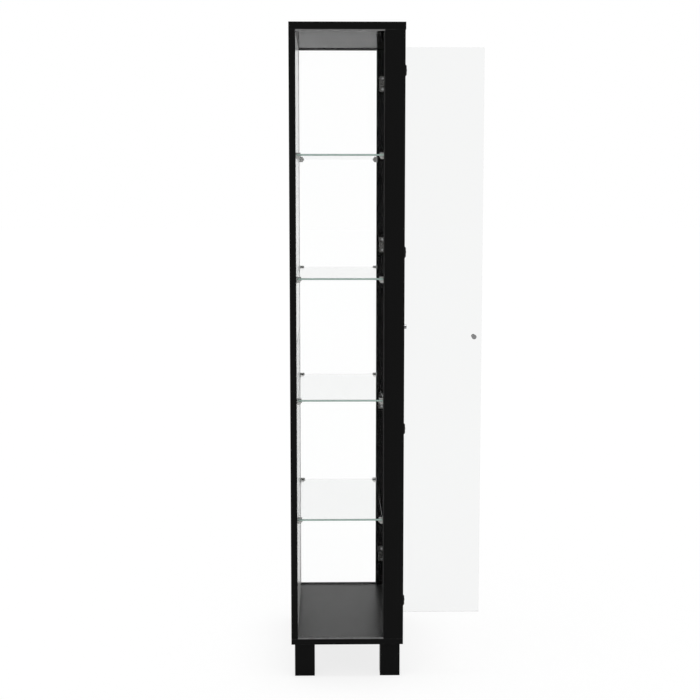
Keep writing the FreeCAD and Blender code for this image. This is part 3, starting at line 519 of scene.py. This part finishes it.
def add_piece(name, points, faces, materials, body, kinds=None):
    """A closed mesh piece at the origin, faces outward, that rides on a CAD body.

    Kinds gives each face's place in the materials where there is more than one.
    """
    mesh = bpy.data.meshes.new(name)
    mesh.from_pydata(points.reshape(-1, 3).tolist(), [], faces)
    shell = bmesh.new()
    shell.from_mesh(mesh)
    bmesh.ops.recalc_face_normals(shell, faces=shell.faces)
    shell.to_mesh(mesh)
    shell.free()
    mesh.shade_smooth()
    mesh.set_sharp_from_angle(angle=SHARP_ANGLE)
    for material in materials:
        mesh.materials.append(material)
    if kinds is not None:
        mesh.polygons.foreach_set("material_index", kinds)
    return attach(add_object(name, mesh), body)


def tube_faces(along, around, closed):
    """Quads of a grid that closes around, and along too where closed, or else is capped."""
    first = np.arange(along * around).reshape(along, around)
    side = np.roll(first, -1, axis=1)
    quads = np.stack([first, side, np.roll(side, -1, axis=0), np.roll(first, -1, axis=0)], axis=-1)
    if closed:
        return quads.reshape(-1, 4).tolist()
    return [*quads[:-1].reshape(-1, 4).tolist(), first[0].tolist(), first[-1].tolist()]


def spun_faces(rows, turns):
    """Faces of a spun surface of that many rings, with a point before the first and after the last."""
    rings = 1 + np.arange(rows * turns).reshape(rows, turns)
    side = np.roll(rings, -1, axis=1)
    quads = np.stack([rings[:-1], rings[1:], side[1:], side[:-1]], axis=-1).reshape(-1, 4)
    start = np.zeros(turns, int)
    end = np.full(turns, rows * turns + 1)
    fans = np.concatenate([np.stack([start, rings[0], side[0]], axis=-1),
                           np.stack([rings[-1], end, side[-1]], axis=-1)])
    return [*quads.tolist(), *fans.tolist()]


def repeated(faces, copies, size):
    """Faces of one shape for copies of it, whose points follow each other in groups of that size."""
    return [(np.array(face) + copy * size).tolist() for copy in range(copies) for face in faces]


def corner_arcs(low, high, corner, arcs):
    """Corner centres of a rounded rectangle, and the way out from them, at each point round it."""
    turn = np.linspace(0.0, math.pi / 2, arcs) + np.arange(4)[:, None] * math.pi / 2
    outward = np.stack([np.cos(turn), np.sin(turn)], axis=-1)
    sign = np.array([[1, 1], [-1, 1], [-1, -1], [1, -1]])
    centre = np.where(sign > 0, high, low) - sign * corner
    return centre.repeat(arcs, axis=0), outward.reshape(-1, 2)


def rim_points(low, high, thin, corner, detail):
    """Rim round a plate that is thin along one axis, as path by section.

    The path is a rounded rectangle: each corner's centre plus radius times (cos t, sin t), with t over a
    quarter turn. The section carried along it is the plate's edge with both arrises, a skin proud of the
    glass, closed by a wall inside the glass.
    """
    low, high = np.array(low), np.array(high)
    plane = [axis for axis in range(3) if axis != thin]
    centre, outward = corner_arcs(low[plane], high[plane], corner, detail.arcs)
    thick = high[thin] - low[thin]
    inner = -detail.arris - detail.depth
    section = np.array([[-detail.arris, -detail.skin], [detail.skin, detail.arris],
                        [detail.skin, thick - detail.arris], [-detail.arris, thick + detail.skin],
                        [inner, thick - detail.depth], [inner, detail.depth]])
    flat = centre[:, None] + outward[:, None] * (corner + section[:, :1])
    points = np.empty((*flat.shape[:2], 3))
    points[..., plane] = flat
    points[..., thin] = low[thin] + section[:, 1]
    return points


def add_rim(plate, thin, corner, materials, body):
    """Rim of one glass plate: its edge is ground, and its arrises and inner walls are clear."""
    points = rim_points(*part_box(plate), thin, corner, bpy.context.scene.bookcase_detail)
    path, section = points.shape[:2]
    kinds = np.tile(np.arange(section) != GROUND_BAND, path).astype(np.int32)
    faces = tube_faces(path, section, closed=True)
    return add_piece(plate + "_edge", points, faces, materials, body, kinds)


def bead_points(corner, legs, ends, arcs):
    """Sealing bead in an upright corner, as heights by section.

    The section is the corner and a hollow quarter circle before it: the corner plus its legs times
    (1 - sin t, 1 - cos t). It runs straight up between its ends.
    """
    t = np.linspace(0.0, math.pi / 2, arcs)
    x = corner[0] + legs[0] * np.append(1 - np.sin(t), 0.0)
    y = corner[1] + legs[1] * np.append(1 - np.cos(t), 0.0)
    return np.stack(np.broadcast_arrays(x, y, np.array(ends)[:, None]), axis=-1)


def add_bead(name, corner, legs, panel, material):
    """Sealing bead between the bottom and the top channel of a panel."""
    ends = [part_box(f"{panel}_bottom_channel")[1].z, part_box(f"{panel}_top_channel")[0].z]
    points = bead_points(corner, legs, ends, bpy.context.scene.bookcase_detail.arcs)
    faces = tube_faces(*points.shape[:2], closed=False)
    return add_piece(name, points, faces, [material], "carcass")


def grip_points(low, high, start, reach, detail):
    """Grip over a support's clip, as length by section.

    The section is a rounded rectangle across X and Z: each corner's centre plus radius times
    (cos t, sin t). It runs along Y from its start over its reach. At the tip Y follows sin u while
    the radius shrinks with cos u, with u over most of a quarter turn.
    """
    corner = detail.grip_corner
    centre, outward = corner_arcs(np.array(low), np.array(high), corner, detail.arcs)
    u = np.linspace(0.0, TIP_TURN, detail.arcs)
    along = np.append(0.0, abs(reach) - corner * (1 - np.sin(u)))
    radius = corner * np.append(1.0, np.cos(u))
    x, z = np.moveaxis(centre + radius[:, None, None] * outward, -1, 0)
    y = start + math.copysign(1.0, reach) * along[:, None]
    return np.stack(np.broadcast_arrays(x, y, z), axis=-1)


def add_grips(shelf, material):
    """Grips over the four clips that hold one shelf down."""
    detail = bpy.context.scene.bookcase_detail
    low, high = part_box(shelf + "_supports")
    wall = detail.grip_wall
    wide = detail.grip_width + 2 * wall
    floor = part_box(shelf)[1].z + 2 * detail.skin
    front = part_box("front_left_stile")[1].y
    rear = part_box("rear_left_stile")[0].y
    grips = np.array([grip_points((x, floor), (x + wide, high.z + wall), start, reach, detail)
                      for x in (low.x - wall, high.x + wall - wide)
                      for start, reach in ((front, detail.grip), (rear, -detail.grip))])
    copies, along, around = grips.shape[:3]
    faces = repeated(tube_faces(along, around, closed=False), copies, along * around)
    return add_piece(shelf + "_grips", grips, faces, [material], "carcass")


def screw_rings(detail, reach):
    """Rings of one screw along X, head up, as rows by turns.

    A profile of (height, radius) is spun about X: a flattened dome, the head's seat, the shank and its
    point. On the dome the height drops by the recess where the nearer of |y| and |z| is within its half
    width, and less and less up to twice that. The cross fades out towards the rim.
    """
    turn = np.linspace(0.0, 2 * math.pi, detail.turns, endpoint=False)
    part = np.linspace(0.0, 1.0, DOME_RINGS + 1)[1:]
    arch = np.sqrt(1 - DOME_FALL * part ** 2)
    level = DOME_BASE_SHARE + (1 - DOME_BASE_SHARE) * arch
    dome = np.stack([detail.rise * level, detail.head * part], axis=-1)
    rest = [[0.0, detail.head], [0.0, detail.shank], [detail.shank - reach, detail.shank]]
    height, radius = np.concatenate([dome, rest]).T[..., None]
    y, z = radius * np.cos(turn), radius * np.sin(turn)
    across = np.minimum(np.abs(y), np.abs(z)) / detail.slot
    fade = np.interp(radius / detail.head, CROSS_FADE_SHARES, (1.0, 0.0))
    cut = np.clip(2 - across, 0.0, 1.0) * fade
    x = height - detail.recess * cut * (height > 0.0)
    return np.stack([x, y, z], axis=-1)


def clusters(name, axis, gap):
    """Middles of the groups that a node's points fall into along an axis."""
    vertices = frame["nodes"][name].data.vertices
    points = np.empty(3 * len(vertices), np.float32)
    vertices.foreach_get("co", points)
    places = np.unique(points.astype(float).reshape(-1, 3)[:, axis])
    groups = np.split(places, np.flatnonzero(np.diff(places) > gap) + 1)
    return np.array([(group[0] + group[-1]) / 2 for group in groups])


def add_screws(side, material):
    """Cross-headed screws of one side's hinge plates, in place of the plain ones."""
    detail = bpy.context.scene.bookcase_detail
    plain = f"{side}_hinge_screws"
    low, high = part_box(plain)
    facing = 1 if side == "left" else -1
    seat = (high.x if facing > 0 else low.x) - facing * detail.rise
    reach = high.x - low.x - detail.rise
    rings = screw_rings(detail, reach)
    crown = [[detail.rise - detail.recess, 0.0, 0.0]]
    tip = [[-reach, 0.0, 0.0]]
    one = np.concatenate([crown, rings.reshape(-1, 3), tip]) * (facing, 1, 1)
    heights = clusters(plain, AXIS_Z, detail.head)
    middle = np.stack(np.broadcast_arrays(seat, (low.y + high.y) / 2, heights), axis=-1)
    faces = repeated(spun_faces(*rings.shape[:2]), len(heights), len(one))
    points = one + middle[:, None]
    screws = add_piece(f"{side}_cross_screws", points, faces, [material], "carcass")
    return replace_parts(screws, plain)


# Steps of the object

class BOOKCASE_OT_boards(bpy.types.Operator):
    """Lacquers the top, bottom, posts, rails, legs and door stops"""

    bl_idname = "bookcase.boards"
    bl_label = "Lacquered boards"

    def execute(self, context):
        posts = [f"{end}_{piece}" for end in ("front", "rear") for kind in ("stile", "leg")
                 for piece in both(kind)]
        level = ["top_panel", "bottom_panel", "front_top_rail", "front_bottom_rail"]
        for name in (*posts, *level, "top_door_stop", "bottom_door_stop"):
            dress(lacquer(name), name)
        return {"FINISHED"}


class BOOKCASE_OT_joinery(bpy.types.Operator):
    """Finishes the dowels and studs inside the frame"""

    bl_idname = "bookcase.joinery"
    bl_label = "Dowels and studs"

    def execute(self, context):
        finish = context.scene.bookcase_finish
        dress(timber("beech_upright", finish.beech, stretch=(900.0, 900.0, 40.0)), "panel_dowels")
        dress(timber("beech_level", finish.beech, stretch=(40.0, 900.0, 900.0)), "rail_dowels")
        dress(plated("zinc_studs", finish.zinc, rough=0.3, stretch=(60.0, 60.0, 1500.0)), "leg_studs")
        return {"FINISHED"}


class BOOKCASE_OT_panes(bpy.types.Operator):
    """Glazes the sides, with their channels and sealing beads, whose grey is partly a painted highlight
    along the front stiles
    """

    bl_idname = "bookcase.panes"
    bl_label = "Fixed panes"

    def execute(self, context):
        finish, detail = context.scene.bookcase_finish, context.scene.bookcase_detail
        dress(glass("clear_pane", finish.pane, finish.pane_ior), *both("side_glass"))
        anodised = plated("anodised_channel", finish.channel, rough=0.35, stretch=(40.0, 40.0, 2000.0),
                          relief_depth=0.004 * MM)
        channels = [f"{side}_{end}_channel" for side in (*SIDES, "back") for end in ("top", "bottom")]
        dress(anodised, *channels)
        # The front beads' grey is partly a painted highlight along the front stiles' rear edges.
        rubber = moulded("highlit_sealing_bead", finish.bead, rough=0.5)
        for side, outside, nearest in (("left", -1, 0), ("right", 1, 1)):
            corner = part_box(f"{side}_side_glass")[nearest].x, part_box(f"front_{side}_stile")[1].y
            legs = outside * detail.bead, detail.bead
            add_bead(f"{side}_highlit_sealing_bead", corner, legs, side, rubber)
        return {"FINISHED"}


class BOOKCASE_OT_back(bpy.types.Operator):
    """Paints the back panels, the lower one greyer as painted shade, finishes the strip over their joint
    and seals their ends
    """

    bl_idname = "bookcase.back"
    bl_label = "Back panels"

    def execute(self, context):
        finish = context.scene.bookcase_finish
        dress(painted_board("upper_back_paint", finish.upper_back), "upper_back_panel")
        # The lower panel is painted greyer than the upper one as painted shade.
        dress(painted_board("lower_back_shaded_paint", finish.lower_back), "lower_back_panel")
        white = moulded("white_strip", finish.white, rough=0.4)
        dress(white, "back_joint_strip")
        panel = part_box("upper_back_panel")[0].y
        for side, inward, nearest in (("left", 1, 1), ("right", -1, 0)):
            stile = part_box(f"rear_{side}_stile")
            step = panel - stile[0].y
            corner = stile[nearest].x, panel
            add_bead(f"{side}_back_bead", corner, (inward * step, -step), "back", white)
        return {"FINISHED"}


class BOOKCASE_OT_shelves(bpy.types.Operator):
    """Glazes the shelves, grinds their edges, plates their brackets and puts grips on these"""

    bl_idname = "bookcase.shelves"
    bl_label = "Glass shelves"

    def execute(self, context):
        finish, detail = context.scene.bookcase_finish, context.scene.bookcase_detail
        names = [f"shelf_{number}" for number in range(1, SHELF_COUNT + 1)]
        dress(glass("shelf_plate", finish.shelf, finish.shelf_ior), *names)
        edge = [ground_edge("shelf_edge", finish.shelf_edge), clear_wall("shelf_wall")]
        for name in names:
            add_rim(name, AXIS_Z, detail.shelf_corner, edge, "carcass")
        brackets = plated("nickel_bracket", finish.bracket, rough=0.3, stretch=(500.0, 500.0, 500.0))
        dress(brackets, *(name + "_supports" for name in names))
        soft = moulded("soft_grip", finish.grip, rough=0.45)
        for name in names:
            add_grips(name, soft)
        return {"FINISHED"}


class BOOKCASE_OT_doors(bpy.types.Operator):
    """Glazes both doors and grinds their edges"""

    bl_idname = "bookcase.doors"
    bl_label = "Glass doors"

    def execute(self, context):
        finish, detail = context.scene.bookcase_finish, context.scene.bookcase_detail
        dress(glass("door_plate", finish.door, finish.door_ior), *both("door_glass"))
        edge = [ground_edge("door_edge", finish.door_edge), clear_wall("door_wall")]
        for side, thin in (("left", AXIS_X), ("right", AXIS_Y)):
            add_rim(f"{side}_door_glass", thin, detail.door_corner, edge, f"{side}_door")
        return {"FINISHED"}


class BOOKCASE_OT_hinges(bpy.types.Operator):
    """Plates the hinges, moulds their caps and puts in cross-headed screws"""

    bl_idname = "bookcase.hinges"
    bl_label = "Hinges"

    def execute(self, context):
        finish = context.scene.bookcase_finish
        nickel = plated("nickel_casting", finish.nickel, rough=0.3, stretch=(700.0, 700.0, 160.0))
        dress(nickel, *both("hinge_plates"), *both("hinge_arms"), *both("hinge_cups"))
        zinc = plated("zinc_fixing", finish.zinc, rough=0.28, stretch=(300.0, 300.0, 900.0))
        dress(zinc, *both("hinge_pins"))
        dress(moulded("black_cap", finish.cap, rough=0.3), *both("hinge_caps"))
        for side in SIDES:
            add_screws(side, zinc)
        return {"FINISHED"}


class BOOKCASE_OT_knobs(bpy.types.Operator):
    """Finishes the knobs with their screws and washers"""

    bl_idname = "bookcase.knobs"
    bl_label = "Knobs"

    def execute(self, context):
        finish = context.scene.bookcase_finish
        for side, axis in (("left", "X"), ("right", "Y")):
            low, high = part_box(f"{side}_knob")
            dress(turned(f"{side}_gunmetal", finish.gunmetal, (low + high) / 2, axis), f"{side}_knob")
        fixing = plated("zinc_knob_screw", finish.zinc, rough=0.3, stretch=(600.0, 600.0, 600.0))
        dress(fixing, *both("knob_screw"))
        dress(moulded("black_washer", finish.cap, rough=0.45), *both("knob_washers"))
        return {"FINISHED"}


class BOOKCASE_OT_pads(bpy.types.Operator):
    """Finishes the soft pads of the door stops"""

    bl_idname = "bookcase.pads"
    bl_label = "Door stop pads"

    def execute(self, context):
        finish = context.scene.bookcase_finish
        dress(moulded("soft_pad", finish.pad, rough=0.45), "door_stop_pads")
        return {"FINISHED"}


# Stage

def plainly_seen(tree):
    """1 to the camera, to mirrors and through glass, and 0 to scattered light."""
    path = node(tree, "LightPath").outputs
    direct = maths(tree, "MAXIMUM", path["Is Camera Ray"], path["Is Glossy Ray"])
    return maths(tree, "MAXIMUM", direct, path["Is Transmission Ray"])


def pale_floor(stage):
    """Pale floor, part of which shows as plain white where it is plainly seen."""
    material, tree, _ = new_material("pale_floor")
    part = maths(tree, "MULTIPLY", plainly_seen(tree), stage.white)
    matt = node(tree, "BsdfDiffuse", {"Color": shade(stage.floor)}).outputs[0]
    plain = node(tree, "Emission", {"Strength": 1.0}).outputs[0]
    mixed = node(tree, "MixShader", {0: part, 1: matt, 2: plain}).outputs[0]
    feed(tree, mixed, tree.nodes["Material Output"].inputs["Surface"])
    return material


def studio_world(stage):
    """White where it is plainly seen, and a softer light to everything else."""
    world = bpy.data.worlds.new("studio")
    world.use_nodes = True
    tree = world.node_tree
    backdrop = tree.nodes["Background"].inputs
    backdrop["Color"].default_value = shade((1.0, 1.0, 1.0))
    feed(tree, between(tree, plainly_seen(tree), stage.ambient, 1.0), backdrop["Strength"])
    return world


def add_floor(stage):
    """Flat square floor with the object at its middle."""
    mesh = bpy.data.meshes.new("floor")
    corners = np.array([[-1, -1, 0], [1, -1, 0], [1, 1, 0], [-1, 1, 0]]) * stage.reach
    mesh.from_pydata(corners.tolist(), [], [(0, 1, 2, 3)])
    mesh.materials.append(pale_floor(stage))
    add_object("floor", mesh)


def add_overhead(stage):
    """Wide light that shines straight down."""
    lamp = bpy.data.lights.new("overhead", "SUN")
    lamp.energy = stage.key
    lamp.angle = stage.spread
    return add_object("overhead", lamp)


def add_camera(stage):
    """Camera at the photograph's viewing angle."""
    camera = add_object("camera", bpy.data.cameras.new("camera"))
    camera.location = stage.place
    camera.rotation_euler = stage.turn
    camera.data.lens = stage.lens
    return camera


class BOOKCASE_OT_stage(bpy.types.Operator):
    """Lays the floor and sets the lights and the camera"""

    bl_idname = "bookcase.stage"
    bl_label = "Stage"

    def execute(self, context):
        scene = context.scene
        stage = scene.bookcase_stage
        add_floor(stage)
        add_overhead(stage)
        scene.world = studio_world(stage)
        scene.camera = add_camera(stage)
        scene.view_settings.view_transform = "Standard"
        return {"FINISHED"}


STEPS = (
    BOOKCASE_OT_boards,
    BOOKCASE_OT_joinery,
    BOOKCASE_OT_panes,
    BOOKCASE_OT_back,
    BOOKCASE_OT_shelves,
    BOOKCASE_OT_doors,
    BOOKCASE_OT_hinges,
    BOOKCASE_OT_knobs,
    BOOKCASE_OT_pads,
    BOOKCASE_OT_stage,
)


class BOOKCASE_PT_steps(bpy.types.Panel):
    """Lists the steps that finish the bookcase"""

    bl_idname = "BOOKCASE_PT_steps"
    bl_label = "Bookcase"
    bl_space_type = "VIEW_3D"
    bl_region_type = "UI"
    bl_category = "Bookcase"

    def draw(self, context):
        for step in STEPS:
            self.layout.operator(step.bl_idname)


SETTINGS = {
    "bookcase_finish": BookcaseFinish,
    "bookcase_detail": BookcaseDetail,
    "bookcase_stage": BookcaseStage,
}


def register():
    """Registers the settings, the steps and their panel."""
    for kind in (*SETTINGS.values(), *STEPS, BOOKCASE_PT_steps):
        bpy.utils.register_class(kind)
    for name, kind in SETTINGS.items():
        setattr(bpy.types.Scene, name, PointerProperty(type=kind))


def unregister():
    """Takes away what register adds."""
    for name in SETTINGS:
        delattr(bpy.types.Scene, name)
    for kind in reversed((*SETTINGS.values(), *STEPS, BOOKCASE_PT_steps)):
        bpy.utils.unregister_class(kind)


def clear_start():
    """Takes away what an empty file brings."""
    kept = {*frame["nodes"].values(), *frame["bodies"].values()}
    for item in set(bpy.data.objects) - kept:
        bpy.data.objects.remove(item)


def main():
    """Runs every step on the loaded frame."""
    clear_start()
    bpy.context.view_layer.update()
    register()
    for step in STEPS:
        group, name = step.bl_idname.split(".")
        getattr(getattr(bpy.ops, group), name)()


if __name__ == "__main__":
    main()
